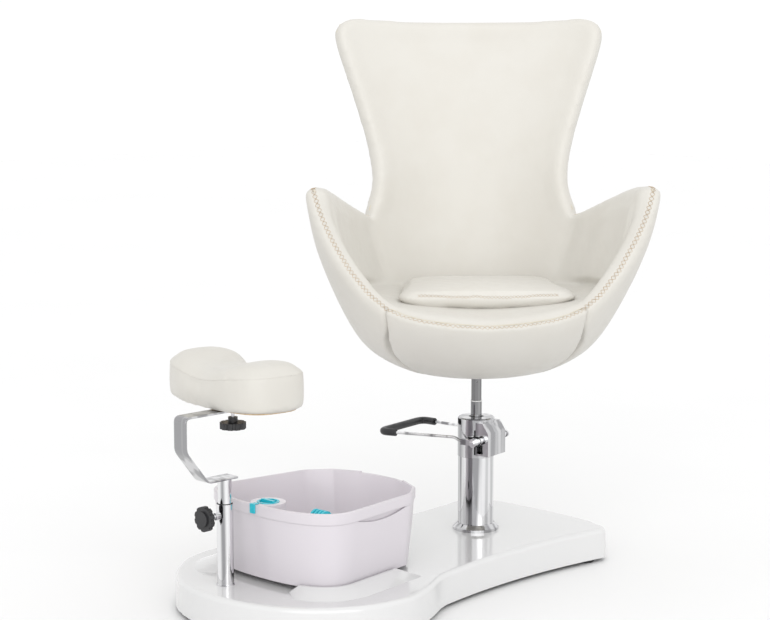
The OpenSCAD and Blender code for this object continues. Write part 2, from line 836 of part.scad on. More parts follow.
// Ring moved inward by d, at a share t of the way from the underside to the top
function cushion_ring(d, t, rise = 0) =
    [for (p = inset(cushion_line, d))
        let (low = seat_level(p[0] + cushion_dx, p[1]) + 0.8, high = max(low + 9, cushion_top))
        [p[0] + cushion_dx, p[1], low + (high - low) * t + rise]];
function cushion_disc(f, t, rise = 0) =
    [for (q = cushion_line)
        let (
            p = f * q,
            low = seat_level(p[0] + cushion_dx, p[1]) + 0.8,
            high = max(low + 9, cushion_top)
        )
        [p[0] + cushion_dx, p[1], low + (high - low) * t + rise]];
module seat_cushion() {
    color("ivory") at_seat() skin([
        cushion_disc(0.3, 0), cushion_disc(0.65, 0), cushion_ring(12, 0), cushion_ring(3, 0.15),
        cushion_ring(0, 0.5), cushion_ring(2, 0.9), cushion_ring(10, 1),
        cushion_disc(0.8, 1, 4), cushion_disc(0.5, 1, 7), cushion_disc(0.2, 1, 8)
    ]);
}

// ---- footrest ----

post_wall = 1.5;
post_plate_t = 3;
bush_r = post_r - post_wall - running_gap;
inner_r = 16.2;
module post_tube() {
    color("silver") at_post() difference() {
        union() {
            translate([0, 0, 3]) cylinder(h = post_h - 3, r = post_r, $fn = 64);
            translate([0, -post_r - 13, knob_z]) rotate([-90, 0, 0]) cylinder(h = 14, r = 9, $fn = 48);
        }
        translate([0, 0, 2]) cylinder(h = post_h, r = post_r - post_wall, $fn = 64);
        translate([0, -60, knob_z]) rotate([-90, 0, 0]) cylinder(h = 60, r = stud_r + running_gap, $fn = 32);
    }
}

module post_flange() {
    color("silver") at_post() difference() {
        cylinder(h = post_plate_t, r = post_r + 2, $fn = 64);
        for (k = [0:3]) {
            rotate([0, 0, 45 + 90 * k]) translate([post_bolt_r, 0, -1])
                cylinder(h = 5, r = bolt_hole_r, $fn = 32);
        }
    }
}

bush_low = 120;
module post_bush() {
    color("black") at_post() difference() {
        union() {
            translate([0, 0, bush_low]) cylinder(h = post_h - bush_low, r = bush_r, $fn = 64);
            translate([0, 0, post_h + 0.1]) cylinder(h = 1.2, r = post_r - 0.6, $fn = 64);
        }
        translate([0, 0, bush_low - 1]) cylinder(h = 200, r = inner_r + running_gap, $fn = 64);
    }
}

inner_low = 66;
module post_inner() {
    color("silver") at_post() translate([0, 0, inner_low]) ring(inner_r, inner_r - 2, bracket_z - inner_low);
}

// Flat bar, bent five times, seen from the side as [y, z]
bar_route = rounded([
    [24, bracket_z + bar_t / 2], [-64, bracket_z + bar_t / 2], [-bar_reach, bracket_z + 80],
    [-bar_reach, bar_top - bar_t / 2], [bolt_dy + 24, bar_top - bar_t / 2]
], [12, 12, 12], 5);
module bracket() {
    n = len(bar_route);
    half = bar_t / 2;
    normals = [for (i = [0:n - 1])
        let (d = unit(bar_route[min(i + 1, n - 1)] - bar_route[max(i - 1, 0)])) [-d[1], d[0]]];
    near = [for (i = [0:n - 1]) bar_route[i] + half * normals[i]];
    far = [for (i = [n - 1:-1:0]) bar_route[i] - half * normals[i]];
    color("silver") at_post() difference() {
        rotate([90, 0, 90]) translate([0, 0, -bar_w / 2]) linear_extrude(bar_w) polygon(concat(near, far));
        translate([0, bolt_dy, bar_top - 20]) cylinder(h = 40, r = bolt_r + running_gap, $fn = 32);
    }
}

// Round knob with finger lobes around its rim
module lobed_knob(r, h, lobes) {
    difference() {
        cylinder(h = h, r = r, $fn = 64);
        for (k = [0:lobes - 1]) {
            rotate([0, 0, 360 * k / lobes]) translate([r + 2.5, 0, -1]) cylinder(h = h + 2, r = 5, $fn = 24);
        }
    }
}

knob_z = 164;
knob_r = 29;
stud_r = 5;
knob_out = 54;
module post_knob() {
    color("black") at_post() translate([0, -knob_out, knob_z]) rotate([90, 0, 0]) {
        lobed_knob(knob_r, 12, 10);
        translate([0, 0, 12]) cylinder(h = 4, r = 18, $fn = 48);
        translate([0, 0, -8]) ring(12, stud_r, 8);
    }
}

module post_stud() {
    color("silver") at_post() translate([0, -knob_out, knob_z]) rotate([-90, 0, 0])
        cylinder(h = knob_out - bush_r - 0.4, r = stud_r, $fn = 32);
}

// Kidney outline of the pad, around its own centre
pad_power = 0.66;
notch_d = 40;
notch_w = 78;
function pad_line(d) =
    [for (k = [0:55]) let (
        a = 360 * k / 56 - 90,
        x = (pad_l - d) * sign(cos(a)) * pow(abs(cos(a)), pad_power),
        y = (pad_d - d) * sign(sin(a)) * pow(abs(sin(a)), pad_power)
    ) [x, y > 0 ? y - notch_d * exp(-pow(x / notch_w, 2)) * y / pad_d : y]];
pad_low = bar_top + soft_gap;
pad_edge = 90;
pad_sink = 22;
function pad_top(x) = pad_low + pad_edge - pad_sink * exp(-pow(x / 105, 2));
function pad_ring(d, share, rise) =
    [for (p = pad_line(d)) [p[0], p[1], pad_low + (pad_top(p[0]) - pad_low) * share + rise]];
module at_pad() {
    at_post() translate([pad_dx, pad_dy, 0]) rotate([0, 0, pad_turn]) children();
}

board_t = 12;
module pad_outline(d) {
    polygon(pad_line(d));
}

module footrest_pad() {
    color("ivory") at_pad() difference() {
        skin([
            pad_ring(6, 0, 0), pad_ring(1, 0.06, 0), pad_ring(0, 0.5, 0), pad_ring(2, 0.96, 0),
            pad_ring(7, 1, 0), pad_ring(24, 1, 9), pad_ring(46, 1, 15),
            pad_ring(70, 1, 19), pad_ring(88, 1, 20)
        ]);
        translate([0, 0, pad_low - 1]) linear_extrude(board_t + 1) pad_outline(18);
    }
}

module pad_board() {
    color("tan") difference() {
        at_pad() translate([0, 0, pad_low]) linear_extrude(board_t - soft_gap) pad_outline(18 + soft_gap);
        at_post() translate([0, bolt_dy, pad_low - 1]) cylinder(h = 30, r = 7, $fn = 32);
    }
}

module pad_nut() {
    color("silver") at_post() translate([0, bolt_dy, pad_low]) ring(7, bolt_r + running_gap, board_t - 1);
}

pad_knob_z = 360;
module pad_knob() {
    color("black") at_post() translate([0, bolt_dy, pad_knob_z]) {
        lobed_knob(30, 15, 10);
        translate([0, 0, 15]) ring(11, bolt_r, 12);
    }
}

module pad_bolt() {
    color("silver") at_post() translate([0, bolt_dy, pad_knob_z + 15])
        cylinder(h = pad_low + board_t - 6 - pad_knob_z - 15, r = bolt_r, $fn = 32);
}

// ---- foot spa ----

function bath_nose_pt(a, g) =
    [(bath_w + g) * pow(sin(a), 0.8), bath_front_y - (bath_nose + g) * pow(cos(a), 0.8)];
function bath_side(g) = concat(
    [for (a = [0:6:90]) bath_nose_pt(a, g)],
    rounded([
        [bath_w + g - 2, bath_front_y + 14],
        [bath_rear_w + g, bath_side_rear_y],
        [bath_corner_w + g, bath_corner_y + g * 0.6],
        [bath_tail_w + g / 2, bath_tail_y + g],
        [0, bath_tail_y + g]
    ], [16, 5, 30], 4)
);
function bath_ring(g, z) = lift(mirrored(bath_side(g)), z);

tub_floor = 24;
module bath_tub() {
    color("lavender") at_bath() {
        difference() {
            union() {
                skin([
                    bath_ring(-bath_wall - 4 - bath_draft, tub_floor - 4),
                    bath_ring(-bath_wall - 4, bath_h - bath_band + soft_gap)
                ]);
                skin([
                    bath_ring(-2, bath_h - bath_band + soft_gap), bath_ring(0, bath_h - bath_band + 4),
                    bath_ring(0, bath_h - 2), bath_ring(-2, bath_h)
                ]);
                pod_lobe();
            }
            difference() {
                skin([
                    bath_ring(-26 - bath_draft, tub_floor), bath_ring(-15 - bath_draft, tub_floor + 8),
                    bath_ring(-9, bath_h - 12), bath_ring(-7, bath_h + 1)
                ]);
                pod_lobe();
            }
            translate([dial_x, dial_y, bath_h - 8]) cylinder(h = 20, r = dial_r + 0.5, $fn = 64);
            translate([dial_x, dial_y, bath_h - 40]) cylinder(h = 50, r = 6 + running_gap, $fn = 48);
            translate([-72, bath_tail_y - 30, bath_h - 4]) cube([144, 60, 10]);
        }
    }
}

// Raised seat of the dial, a round bay on the inside of the rim
module pod_lobe() {
    translate([dial_x, dial_y, bath_h - 16]) cylinder(h = 16, r = lobe_r, $fn = 64);
}

module control_pod() {
    color("lavender") at_bath() translate([dial_x, dial_y + 4, 0]) difference() {
        intersection() {
            translate([0, 0, 60]) cylinder(h = bath_h - 16.4 - 60, r1 = 20, r2 = lobe_r - 3, $fn = 64);
            translate([-60, -11, 0]) cube([120, 100, 300]);
        }
        translate([0, -4, 110]) cylinder(h = 80, r = 9, $fn = 48);
    }
}

module dial_shaft() {
    color("gray") at_bath() translate([dial_x, dial_y, bath_h - 45]) cylinder(h = 38, r = 6, $fn = 48);
}

// Dial with a raised pointer bar
module control_dial() {
    color("darkturquoise") at_bath() translate([dial_x, dial_y, bath_h - 6.5]) {
        difference() {
            cylinder(h = 8, r = dial_r, $fn = 64);
            translate([0, 0, 4]) cylinder(h = 5, r = dial_r - 5, $fn = 64);
        }
        translate([-dial_r + 6, -4, 0]) cube([2 * dial_r - 12, 8, 11]);
    }
}

// Hook over the front of the rim
clip_x = -5;
module rim_clip() {
    color("darkturquoise") at_bath() translate([clip_x, bath_front_y - bath_nose, 0]) {
        translate([0, -5, bath_h - 20]) cube([15, 4.6, 22.4]);
        translate([0, -5, bath_h + 0.4]) cube([15, 16, 2]);
    }
}

module bath_housing() {
    top = bath_h - bath_band;
    color("lavender") at_bath() difference() {
        skin([bath_ring(-bath_draft, 6), bath_ring(-bath_draft * 0.45, top * 0.6), bath_ring(-3, top)]);
        skin([
            bath_ring(-bath_draft - bath_wall, 5), bath_ring(-bath_draft * 0.45 - bath_wall, top * 0.6),
            bath_ring(-3 - bath_wall, top + 1)
        ]);
        for (s = [-1, 1]) grip_recess(s);
        translate([-14, bath_tail_y - 40, 40]) cube([28, 80, 22]);
    }
}

// Crescent cut under the band in the flat side
grip_cut_r = 334;
grip_cut_h = 13;
module grip_recess(s) {
    mid_y = (bath_front_y + bath_side_rear_y) / 2;
    translate([s * (bath_w - 20), mid_y, bath_h - bath_band + grip_cut_r - grip_cut_h])
        rotate([0, 90, 0]) cylinder(h = 60, r = grip_cut_r, center = true, $fn = 180);
}

module bath_floor() {
    color("gainsboro") at_bath() skin([
        bath_ring(-bath_draft - bath_wall - 0.5, 6), bath_ring(-bath_draft - bath_wall - 0.3, 9)
    ]);
}

bath_foot_x = [140, 120];
bath_foot_y = [-620, -380];
module bath_feet() {
    color("dimgray") at_bath() for (k = [0:1]) {
        for (s = [-1, 1]) {
            translate([s * bath_foot_x[k], bath_foot_y[k], 0.1 - bath_up])
                cylinder(h = 5.9 + bath_up, r = 14, $fn = 48);
        }
    }
}

module heater_plate() {
    color("dimgray") at_bath() translate([0, -490, 12]) difference() {
        cylinder(h = 6, r = 95, $fn = 96);
        translate([0, 0, -1]) cylinder(h = 8, r = 55, $fn = 64);
    }
}

// Pedestal in the middle of the basin, with two cheeks for the roller
roller_x = -17;
roller_y = -508;
roller_z = 105;
roller_r = 19;
axle_r = 3;
module roller_stand() {
    color("lavender") at_bath() translate([roller_x, roller_y, 0]) difference() {
        union() {
            translate([0, 0, tub_floor]) cylinder(h = 58, r1 = 46, r2 = 32, $fn = 64);
            for (s = [-1, 1]) {
                translate([s * 27 - 3, -12, 80]) cube([6, 24, roller_z - 80]);
                translate([s * 27 - 3, 0, roller_z]) rotate([0, 90, 0]) cylinder(h = 6, r = 12, $fn = 48);
            }
        }
        translate([-40, 0, roller_z]) rotate([0, 90, 0]) cylinder(h = 80, r = axle_r, $fn = 32);
    }
}

module massage_roller() {
    color("darkturquoise") at_bath()
            translate([roller_x - 22, roller_y, roller_z]) rotate([0, 90, 0]) difference() {
        union() {
            cylinder(h = 44, r = roller_r - 4, $fn = 48);
            for (k = [0:3]) {
                translate([0, 0, 2 + 11 * k]) cylinder(h = 7, r = roller_r, $fn = 48);
            }
        }
        translate([0, 0, -1]) cylinder(h = 50, r = axle_r + running_gap, $fn = 32);
    }
}

module roller_axle() {
    color("silver") at_bath() translate([roller_x - 30, roller_y, roller_z]) rotate([0, 90, 0])
        cylinder(h = 60, r = axle_r, $fn = 32);
}

// Socket let into the rear of the housing
module power_inlet() {
    color("black") at_bath() translate([0, bath_tail_y - bath_draft * 0.8, 0]) difference() {
        translate([-13.6, -5, 40.4]) cube([27.2, 9, 21.2]);
        translate([-10, -3.5, 44]) cube([20, 20, 14]);
    }
}

base_shell();
ballast_plate();
support_frame();
foot_pads();
foot_studs();
pump_flange();
flange_bolts();
pump_cylinder();
pump_head();
guide_barrel();
ram_seal();
pump_block();
pedal_shroud();
pedal_shaft();
pedal_lugs();
pedal_rod();
pedal_grip();
plunger();
plunger_spring();
ram();
ram_ring();
swivel_washer();
seat_tube();
seat_plate();
seat_bolts();
shell_core();
shell_lining();
shell_cover();
front_panel();
seat_base();
seat_cushion();
post_tube();
post_flange();
post_bush();
post_inner();
bracket();
post_knob();
post_stud();
pad_board();
footrest_pad();
pad_nut();
pad_knob();
pad_bolt();
bath_tub();
bath_housing();
bath_floor();
bath_feet();
heater_plate();
control_pod();
control_dial();
dial_shaft();
rim_clip();
roller_stand();
massage_roller();
roller_axle();
power_inlet();
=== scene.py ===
import json
import math

import bmesh
import bpy
import numpy as np
from mathutils import Matrix, Vector, noise
from mathutils.bvhtree import BVHTree
from mathutils.kdtree import KDTree


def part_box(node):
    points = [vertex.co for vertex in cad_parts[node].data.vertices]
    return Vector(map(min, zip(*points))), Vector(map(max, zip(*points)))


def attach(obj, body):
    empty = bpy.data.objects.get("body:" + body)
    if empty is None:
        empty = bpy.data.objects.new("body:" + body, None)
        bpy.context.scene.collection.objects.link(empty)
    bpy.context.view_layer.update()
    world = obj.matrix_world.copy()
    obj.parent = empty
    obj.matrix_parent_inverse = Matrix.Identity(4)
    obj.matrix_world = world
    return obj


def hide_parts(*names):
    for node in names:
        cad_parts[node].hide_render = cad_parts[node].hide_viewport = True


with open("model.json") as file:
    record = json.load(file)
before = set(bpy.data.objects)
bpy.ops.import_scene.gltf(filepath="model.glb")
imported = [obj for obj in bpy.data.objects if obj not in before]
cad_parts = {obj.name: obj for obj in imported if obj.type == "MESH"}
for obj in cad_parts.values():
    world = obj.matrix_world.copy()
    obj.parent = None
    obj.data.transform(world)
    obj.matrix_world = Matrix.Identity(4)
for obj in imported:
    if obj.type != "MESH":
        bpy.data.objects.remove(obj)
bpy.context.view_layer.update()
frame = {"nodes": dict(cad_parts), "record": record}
nodes = frame["nodes"]
mm = 0.001

# The seat's own axes: x to its side, y to its back, z up from the underside of the shell
SEAT_TURN = math.radians(47)
tube_low, tube_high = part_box("seat_tube")
seat_origin = Vector(((tube_low.x + tube_high.x) / 2, (tube_low.y + tube_high.y) / 2, tube_high.z + 5 * mm))
FROM_SEAT = Matrix.Translation(seat_origin) @ Matrix.Rotation(SEAT_TURN, 4, "Z")
TO_SEAT = FROM_SEAT.inverted()


# ---- camera and light ----

def placed(name, data):
    """A new object of the scene for this camera, light or mesh."""
    obj = bpy.data.objects.new(name, data)
    bpy.context.scene.collection.objects.link(obj)
    return obj


def make_camera():
    """Looks down a little at the chair from its front right, with the pump's foot below the middle."""
    azimuth, pitch, lens = math.radians(44.7), math.radians(8), 93.5
    away, aside, below = 5.099, 0.2307, 0.5553
    low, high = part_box("pump_flange")
    foot = Vector(((low.x + high.x) / 2, (low.y + high.y) / 2, low.z))
    level, fall = math.cos(pitch), math.sin(pitch)
    view = Vector((-math.sin(azimuth) * level, math.cos(azimuth) * level, -fall))
    right = Vector((math.cos(azimuth), math.sin(azimuth), 0))
    up = right.cross(view)
    data = bpy.data.cameras.new("camera")
    data.lens = lens
    data.sensor_width = 36
    data.clip_end = 60
    camera = placed("camera", data)
    camera.location = foot - view * away - right * aside + up * below
    camera.rotation_mode = "QUATERNION"
    camera.rotation_quaternion = Matrix((right, up, -view)).transposed().to_quaternion()
    bpy.context.scene.camera = camera


def new_light(name, kind, power):
    light = placed(name, bpy.data.lights.new(name, kind))
    light.data.energy = power
    return light


def aim(light, direction):
    light.rotation_mode = "QUATERNION"
    light.rotation_quaternion = Vector(direction).to_track_quat("-Z", "Y")


def area_light(name, place, target, width, height, power):
    light = new_light(name, "AREA", power)
    light.data.shape = "RECTANGLE"
    light.data.size, light.data.size_y = width, height
    light.location = place
    aim(light, Vector(target) - Vector(place))


def wide_sun(name, direction, spread_angle, power):
    """Even light from one side, so wide that its shadows have no edge."""
    light = new_light(name, "SUN", power)
    light.data.angle = spread_angle
    aim(light, direction)


def soft_fill(name, place, radius, power):
    """Stands in for the light that the bright surfaces throw about inside a hollow."""
    light = new_light(name, "POINT", power)
    light.data.shadow_soft_size = radius
    light.location = place
    light.visible_camera = False
    light.visible_glossy = False


def make_light():
    world = bpy.data.worlds.new("studio")
    bpy.context.scene.world = world
    world.use_nodes = True
    background = world.node_tree.nodes["Background"].inputs
    background["Color"].default_value = (1, 1, 1, 1)
    background["Strength"].default_value = 1.03
    wide_sun("front", (-0.72, 0.62, -0.36), math.radians(70), 1.4)
    soft_fill("bowl_fill", FROM_SEAT @ Vector((0, -0.16, 0.46)), 0.2, 0.6)
    low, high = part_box("bath_tub")
    soft_fill("basin_fill", Vector(((low.x + high.x) / 2, (low.y + high.y) / 2, high.z + 0.16)), 0.12, 0.45)
    area_light("top", (0.4, 1.4, 3.6), (0, 0, 0.7), 3.0, 2.0, 3)
    bpy.context.scene.view_settings.view_transform = "Standard"


# ---- materials ----

def node_of(tree, kind, **inputs):
    made = tree.nodes.new(kind)
    for key, value in inputs.items():
        made.inputs[key.replace("_", " ")].default_value = value
    return made


class Finish:
    """One Principled material with small helpers for procedural detail in object space."""

    def __init__(self, name, colour, roughness, metallic=0.0):
        self.material = bpy.data.materials.new(name)
        self.material.use_nodes = True
        self.material.diffuse_color = (*colour, 1)
        self.tree = self.material.node_tree
        self.shader = self.tree.nodes["Principled BSDF"]
        self.shader.inputs["Base Color"].default_value = (*colour, 1)
        self.shader.inputs["Roughness"].default_value = roughness
        self.shader.inputs["Metallic"].default_value = metallic
        self.place = self.tree.nodes.new("ShaderNodeTexCoord").outputs["Object"]
        self.height = None

    def set(self, **values):
        for key, value in values.items():
            self.shader.inputs[key.replace("_", " ")].default_value = value
        return self

    def texture(self, kind, output, **inputs):
        made = node_of(self.tree, kind, **inputs)
        self.tree.links.new(self.place, made.inputs["Vector"])
        return made.outputs[output]

    def noise(self, scale, detail=4.0, roughness=0.55):
        return self.texture("ShaderNodeTexNoise", "Fac", Scale=scale, Detail=detail, Roughness=roughness)

    def streaks(self, scale):
        """Noise drawn out along the object's height, used as painted reflection of the surroundings in a
        tube.
        """
        stretch = self.tree.nodes.new("ShaderNodeMapping")
        stretch.inputs["Scale"].default_value = (1, 1, 0.02)
        self.tree.links.new(self.place, stretch.inputs["Vector"])
        made = node_of(self.tree, "ShaderNodeTexNoise", Scale=scale, Detail=1.5, Roughness=0.5)
        self.tree.links.new(stretch.outputs["Vector"], made.inputs["Vector"])
        return made.outputs["Fac"]

    def cells(self, scale):
        return self.texture("ShaderNodeTexVoronoi", "Distance", Scale=scale)

    def ramp(self, value, low, high, target, start=0.35, end=0.65):
        """Maps a texture to a range of colours or numbers on one of the shader's sockets."""
        ramp = self.tree.nodes.new("ShaderNodeMapRange")
        ramp.inputs["From Min"].default_value = start
        ramp.inputs["From Max"].default_value = end
        self.tree.links.new(value, ramp.inputs["Value"])
        if target == "Base Color":
            mix = self.tree.nodes.new("ShaderNodeMix")
            mix.data_type = "RGBA"
            factor, first, second, blend = mix.inputs[0], mix.inputs[6], mix.inputs[7], mix.outputs[2]
            first.default_value = (*low, 1)
            second.default_value = (*high, 1)
            self.tree.links.new(ramp.outputs[0], factor)
            self.tree.links.new(blend, self.shader.inputs[target])
        else:
            ramp.inputs["To Min"].default_value = low
            ramp.inputs["To Max"].default_value = high
            self.tree.links.new(ramp.outputs[0], self.shader.inputs[target])
        return self

    def bump(self, value, strength, distance):
        made = self.tree.nodes.new("ShaderNodeBump")
        made.inputs["Strength"].default_value = strength
        made.inputs["Distance"].default_value = distance
        self.tree.links.new(value, made.inputs["Height"])
        if self.height is not None:
            self.tree.links.new(self.height, made.inputs["Normal"])
        self.height = made.outputs["Normal"]
        self.tree.links.new(self.height, self.shader.inputs["Normal"])
        return self


def leather(name, colour, darker):
    """Coated upholstery: fine pebble grain, faint soft creases, slight change of tone."""
    f = Finish(name, colour, 0.46)
    f.ramp(f.noise(9, 3), darker, colour, "Base Color", 0.3, 0.6)
    f.ramp(f.noise(40, 3), 0.4, 0.52, "Roughness")
    f.bump(f.noise(14, 2), 0.25, 0.0012)
    f.bump(f.cells(620), 0.28, 0.00025)
    f.bump(f.noise(1500, 2), 0.2, 0.0001)
    return f.set(Specular_IOR_Level=0.42, Sheen_Weight=0.06, Sheen_Roughness=0.5).material


def chrome(name, dark=(0.3, 0.3, 0.31), light=(0.82, 0.82, 0.83)):
    """Bright plating in a studio, with painted reflections: stripes of mirrored soft boxes and dark gaps
    between them are painted into the colour and run along the part.
    """
    f = Finish(name, light, 0.06, 1.0)
    # painted reflection: the base colour runs from dark to light in stripes along the part
    f.ramp(f.streaks(42), dark, light, "Base Color", 0.42, 0.56)
    f.ramp(f.noise(22, 5), 0.04, 0.09, "Roughness")
    f.bump(f.noise(60, 2), 0.02, 0.0003)
    return f.material


def gloss(name, colour, roughness, dull, coat, peel):
    """Moulded plastic with a soft gloss and a faint orange peel."""
    f = Finish(name, colour, roughness)
    f.ramp(f.noise(16, 3), roughness * 0.95, dull, "Roughness")
    f.bump(f.noise(170, 2), peel, 0.0003)
    return f.set(Coat_Weight=coat, Coat_Roughness=0.06).material


def textured_plastic(name, colour, roughness=0.5):
    f = Finish(name, colour, roughness)
    f.ramp(f.noise(30, 3), roughness - 0.08, roughness + 0.1, "Roughness")
    f.bump(f.noise(900, 3), 0.3, 0.0002)
    return f.material


def worn_metal(name, colour, roughness):
    f = Finish(name, colour, roughness, 1.0)
    f.ramp(f.noise(60, 5), roughness * 0.8, roughness * 1.3, "Roughness")
    f.bump(f.noise(400, 3), 0.1, 0.0002)
    return f.material


def plywood():
    f = Finish("plywood", (0.55, 0.4, 0.24), 0.65)
    f.ramp(f.noise(120, 6, 0.7), (0.45, 0.31, 0.17), (0.62, 0.47, 0.3), "Base Color")
    f.bump(f.noise(300, 5), 0.2, 0.0004)
    return f.material


def foam():
    f = Finish("foam", (0.78, 0.73, 0.6), 0.9)
    f.bump(f.cells(500), 0.5, 0.0006)
    return f.material


def thread():
    f = Finish("thread", (0.47, 0.35, 0.22), 0.7)
    f.bump(f.noise(2500, 2), 0.4, 0.0002)
    return f.material


def floor_material():
    f = Finish("floor", (0.93, 0.93, 0.93), 0.5)
    f.ramp(f.noise(0.8, 3), (0.84, 0.84, 0.84), (0.855, 0.855, 0.855), "Base Color")
    return f.material


CREAM = (0.6, 0.583, 0.541)
CREAM_DARK = (0.586, 0.566, 0.521)
finishes = {
    "leather_cream": leather("leather_cream", CREAM, CREAM_DARK),
    "white_gloss": gloss("white_gloss", (0.65, 0.65, 0.65), 0.12, 0.14, 0.8, 0.008),
    "lilac_plastic": gloss("lilac_plastic", (0.61, 0.577, 0.612), 0.3, 0.34, 0.25, 0.004),
    "teal_plastic": gloss("teal_plastic", (0.02, 0.46, 0.56), 0.25, 0.32, 0.2, 0.02),
    # chrome, chrome_even and chrome_dark differ only in how dark and how bright their painted reflections
    # are: chrome_dark is painted darker, chrome_even in a narrower, dimmer range
    "chrome": chrome("chrome"),
    "chrome_even": chrome("chrome_even", (0.36, 0.36, 0.37), (0.64, 0.64, 0.65)),
    "chrome_dark": chrome("chrome_dark", (0.2, 0.2, 0.205), (0.5, 0.5, 0.5)),
    "steel": worn_metal("steel", (0.52, 0.52, 0.53), 0.3),
    "zinc": worn_metal("zinc", (0.6, 0.6, 0.62), 0.32),
    "dark_steel": textured_plastic("dark_steel", (0.06, 0.06, 0.065), 0.4),
    "rubber_black": textured_plastic("rubber_black", (0.02, 0.02, 0.02), 0.7),
    "rubber_grey": textured_plastic("rubber_grey", (0.2, 0.2, 0.22), 0.7),
    "seal_black": textured_plastic("seal_black", (0.02, 0.02, 0.02), 0.45),
    "grip_black": textured_plastic("grip_black", (0.018, 0.018, 0.02), 0.42),
    "knob_black": textured_plastic("knob_black", (0.02, 0.02, 0.022), 0.4),
    "nylon_white": textured_plastic("nylon_white", (0.8, 0.8, 0.78), 0.45),
    "nylon_black": textured_plastic("nylon_black", (0.02, 0.02, 0.022), 0.5),
    "core": textured_plastic("core", (0.6, 0.56, 0.47), 0.7),
    "plywood": plywood(),
    "foam": foam(),
    "thread": thread(),
}


# ---- CAD nodes: finish, small edge breaks, smooth shading ----

def dress_cad():
    widest_break, share_of_part, sharp = 0.8 * mm, 0.08, math.radians(38)
    slots = {s["node"]: s["material_slot"] for s in frame["record"]["subparts"]}
    # the ram and post tube get the darker painted reflections of chrome_dark, the bracket and pump parts
    # the dimmer painted reflections of chrome_even
    slots.update(ram="chrome_dark", seat_tube="chrome_dark", seat_plate="steel", bracket="chrome_even",
                 pump_head="chrome_even", pump_flange="chrome_even", pedal_shroud="chrome_even")
    for name, obj in nodes.items():
        mesh = obj.data
        if not obj.material_slots:
            mesh.materials.append(finishes[slots[name]])
        for entry in obj.material_slots:
            entry.material = finishes[slots[name]]
        if mesh.has_custom_normals:
            mesh.attributes.remove(mesh.attributes["custom_normal"])
        mesh.shade_smooth()
        low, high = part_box(name)
        weld = obj.modifiers.new("weld", "WELD")
        weld.merge_threshold = 0.01 * mm
        bevel = obj.modifiers.new("bevel", "BEVEL")
        bevel.width = min(widest_break, min(high - low) * share_of_part)
        bevel.segments = 2
        bevel.limit_method = "ANGLE"
        bevel.angle_limit = sharp
        bevel.use_clamp_overlap = True
        obj.modifiers.new("normals", "WEIGHTED_NORMAL").keep_sharp = True


# ---- mesh helpers ----

def new_object(name, mesh, finish=None):
    obj = placed(name, mesh)
    if finish:
        mesh.materials.clear()
        mesh.materials.append(finish)
    mesh.shade_smooth()
    return obj


def cage(node, crease=50):
    """A node's mesh, welded, with its triangles joined to quads and its sharp edges creased."""
    bm = bmesh.new()
    bm.from_mesh(nodes[node].data)
    bmesh.ops.remove_doubles(bm, verts=bm.verts, dist=0.01 * mm)
    bmesh.ops.join_triangles(bm, faces=bm.faces, angle_face_threshold=math.radians(40),
                             angle_shape_threshold=math.radians(70))
    layer = bm.edges.layers.float.new("crease_edge")
    for e in bm.edges:
        if len(e.link_faces) == 2 and e.calc_face_angle(0) > math.radians(crease):
            e[layer] = 1.0
    return bm


def to_mesh(bm, name):
    mesh = bpy.data.meshes.new(name)
    bm.to_mesh(mesh)
    bm.free()
    return mesh


def baked(mesh, name, *modifiers):
    """The mesh after these modifiers, each given as (kind, {setting: value})."""
    obj = new_object(name, mesh)
    for kind, settings in modifiers:
        made = obj.modifiers.new(kind, kind)
        for key, value in settings.items():
            setattr(made, key, value)
    graph = bpy.context.evaluated_depsgraph_get()
    result = bpy.data.meshes.new_from_object(obj.evaluated_get(graph))
    bpy.data.objects.remove(obj)
    bpy.data.meshes.remove(mesh)
    result.name = name
    return result


def merged(*meshes):
    bm = bmesh.new()
    for mesh in meshes:
        bm.from_mesh(mesh)
        bpy.data.meshes.remove(mesh)
    return to_mesh(bm, "merged")


def read_points(mesh):
    co = np.zeros(len(mesh.vertices) * 3, np.float32)
    no = np.zeros(len(mesh.vertices) * 3, np.float32)
    mesh.vertices.foreach_get("co", co)
    mesh.vertices.foreach_get("normal", no)
    return co.reshape(-1, 3).astype(float), no.reshape(-1, 3).astype(float)


def write_points(mesh, co):
    mesh.vertices.foreach_set("co", co.astype(np.float32).ravel())
    mesh.update()


def smoothed(mesh, voxel, passes, subdivide=2):
    """One even skin round everything in the mesh, with its corners rounded by so many passes."""
    steps = [("SUBSURF", {"levels": subdivide, "render_levels": subdivide})] if subdivide else []
    steps += [("REMESH", {"mode": "VOXEL", "voxel_size": voxel, "use_smooth_shade": True}),
              ("SMOOTH", {"factor": 0.5, "iterations": passes})]
    return baked(mesh, "smoothed", *steps)


def tree_of(*objects):
    """What rays are cast against, to find where these objects' surfaces lie."""
    verts, faces = [], []
    for obj in objects:
        start = len(verts)
        verts += [v.co.copy() for v in obj.data.vertices]
        faces += [[start + i for i in p.vertices] for p in obj.data.polygons]
    return BVHTree.FromPolygons(verts, faces)


def sweep(bm, points, radius, sides=6):
    """Adds a round thread through these points, with closed ends."""
    rings = []
    for i, p in enumerate(points):
        d = (points[min(i + 1, len(points) - 1)] - points[max(i - 1, 0)]).normalized()
        u = d.orthogonal().normalized()
        w = d.cross(u)
        rings.append([bm.verts.new(p + radius * (math.cos(a) * u + math.sin(a) * w))
                      for a in (2 * math.pi * k / sides for k in range(sides))])
    for a, b in zip(rings, rings[1:]):
        offset = min(range(sides), key=lambda k: (a[0].co - b[k].co).length)
        for k in range(sides):
            bm.faces.new((a[k], a[(k + 1) % sides], b[(k + 1 + offset) % sides], b[(k + offset) % sides]))
    bm.faces.new(rings[0][::-1])
    bm.faces.new(rings[-1])


